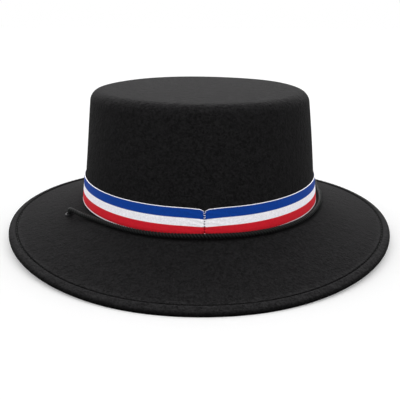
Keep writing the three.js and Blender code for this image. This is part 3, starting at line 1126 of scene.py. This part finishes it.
class HAT_OT_seam_stitches(bpy.types.Operator):
    """Sew the ribbon's seam"""

    bl_idname = "hat.seam_stitches"
    bl_label = "Seam stitches"
    bl_options = {"REGISTER", "UNDO"}

    def execute(self, context):
        """Each stitch is a thread across the crease, a half circle of height over its ends."""
        sizes, colours = context.scene.hat_sizes, context.scene.hat_colours
        shares = np.delete(SEAM_STITCHES, SUNK_STITCHES)
        share = np.linspace(-1, 1, SEAM_THREAD_RINGS)
        reach = SEAM_LENGTHS * SEAM_STITCH_REACH
        angle = seam_angle(sizes) + share * reach / (sizes.crown_depth / 2)
        offset = np.broadcast_to(RIBBON_OUTSIDE + SEAM_THREAD_ARCH * arch(share), angle.shape)
        height = shares[:, None] + SEAM_SLANTS * share
        centre = ribbon_point(angle, height, offset, sizes)
        radius = SEAM_THREAD * (1 - 0.3 * np.abs(share) ** 3)
        outward = np.array([0, -1.0, 0])
        finish = thread_finish("seam_thread", colours.white)
        piece = threads("seam_stitches", centre, radius, outward, SEAM_THREAD_SIDES, finish)
        return {"FINISHED"}


class HAT_OT_eyelets(bpy.types.Operator):
    """Set the two eyelets in the brim"""

    bl_idname = "hat.eyelets"
    bl_label = "Eyelets"
    bl_options = {"REGISTER", "UNDO"}

    def execute(self, context):
        """The outline is a barrel whose two ends roll outwards in half circles onto the felt."""
        sizes, colours = context.scene.hat_sizes, context.scene.hat_colours
        finish = enamel_finish(colours)
        bore, rim = sizes.eyelet_bore / 2, sizes.eyelet_width / 2
        face = sizes.felt / 2 + EYELET_PROUD
        roll = (rim - bore) / 2
        turn = np.linspace(0, math.pi, 9)
        across = bore + roll - roll * np.cos(turn)
        upper = np.stack([across, face + EYELET_DOME * np.sin(turn)], axis=1)
        lower = upper[::-1] * (1, -1)
        wall, end = bore + EYELET_WALL, face - EYELET_LAP
        barrel = np.array([[wall, end], [wall, -end]])
        inside = np.array([[bore, -face / 2], [bore, face / 2]])
        outline = np.vstack([upper, barrel, lower, inside])
        for name in EYELETS:
            seat = eyelet_seat(name, sizes)
            piece = tube_of_revolution(name + "_ring", outline, seat, EYELET_SIDES, finish)
            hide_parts(name)
        return {"FINISHED"}


class HAT_OT_stage(bpy.types.Operator):
    """Lay the pale floor and hang the soft lights"""

    bl_idname = "hat.stage"
    bl_label = "Stage"
    bl_options = {"REGISTER", "UNDO"}

    def execute(self, context):
        """The floor is one square, lit by the white sky all round. The two windows light only the
        hat, so that the floor keeps the narrow soft shadow that the sky gives."""
        finish = Finish(
            "pale_floor", Base_Color=(0.9, 0.9, 0.9), Roughness=0.9, Specular_IOR_Level=0.1,
            Emission_Color=(1, 1, 1), Emission_Strength=0.18,
        )
        corners = [(-1, -1, 0), (1, -1, 0), (1, 1, 0), (-1, 1, 0)]
        mesh = bpy.data.meshes.new("floor")
        mesh.from_pydata((np.array(corners) * FLOOR_HALF).tolist(), [], [(0, 1, 2, 3)])
        mesh.materials.append(finish.material)
        floor = bpy.data.objects.new("floor", mesh)
        context.scene.collection.objects.link(floor)
        world = bpy.data.worlds.new("studio")
        world.use_nodes = True
        background = world.node_tree.nodes["Background"]
        background.inputs["Color"].default_value = (1, 1, 1, 1)
        background.inputs["Strength"].default_value = 1.0
        context.scene.world = world
        lit = bpy.data.collections.new("lit_pieces")
        for piece in context.scene.objects:
            if piece.type == "MESH" and piece != floor:
                lit.objects.link(piece)
        for name, power, size, place, tilt in WINDOWS:
            data = bpy.data.lights.new(name, "AREA")
            data.energy = power
            data.size = size
            lamp = bpy.data.objects.new(name, data)
            lamp.location = place
            lamp.rotation_euler = (tilt, 0, 0)
            lamp.light_linking.receiver_collection = lit
            context.scene.collection.objects.link(lamp)
        context.scene.view_settings.view_transform = "Standard"
        return {"FINISHED"}


OPERATORS = (
    HAT_OT_camera, HAT_OT_cord, HAT_OT_felt, HAT_OT_hem_stitches, HAT_OT_ribbon,
    HAT_OT_seam_stitches, HAT_OT_eyelets, HAT_OT_stage,
)


class HAT_PT_panel(bpy.types.Panel):
    """The hat's sizes, colours and operators"""

    bl_label = "Huaso Hat"
    bl_idname = "HAT_PT_panel"
    bl_space_type = "VIEW_3D"
    bl_region_type = "UI"
    bl_category = "Hat"

    def draw(self, context):
        for group in (context.scene.hat_sizes, context.scene.hat_colours):
            for name in group.__annotations__:
                self.layout.prop(group, name)
        for operator in OPERATORS:
            self.layout.operator(operator.bl_idname)


CLASSES = (HatSizes, HatColours, *OPERATORS, HAT_PT_panel)


def register():
    for item in CLASSES:
        bpy.utils.register_class(item)
    bpy.types.Scene.hat_sizes = bpy.props.PointerProperty(type=HatSizes)
    bpy.types.Scene.hat_colours = bpy.props.PointerProperty(type=HatColours)


def unregister():
    del bpy.types.Scene.hat_colours
    del bpy.types.Scene.hat_sizes
    for item in reversed(CLASSES):
        bpy.utils.unregister_class(item)


def main():
    register()
    bpy.ops.hat.camera()
    bpy.ops.hat.cord()
    bpy.ops.hat.felt()
    bpy.ops.hat.hem_stitches()
    bpy.ops.hat.ribbon()
    bpy.ops.hat.seam_stitches()
    bpy.ops.hat.eyelets()
    bpy.ops.hat.stage()
    bpy.context.view_layer.update()


if __name__ == "__main__":
    main()
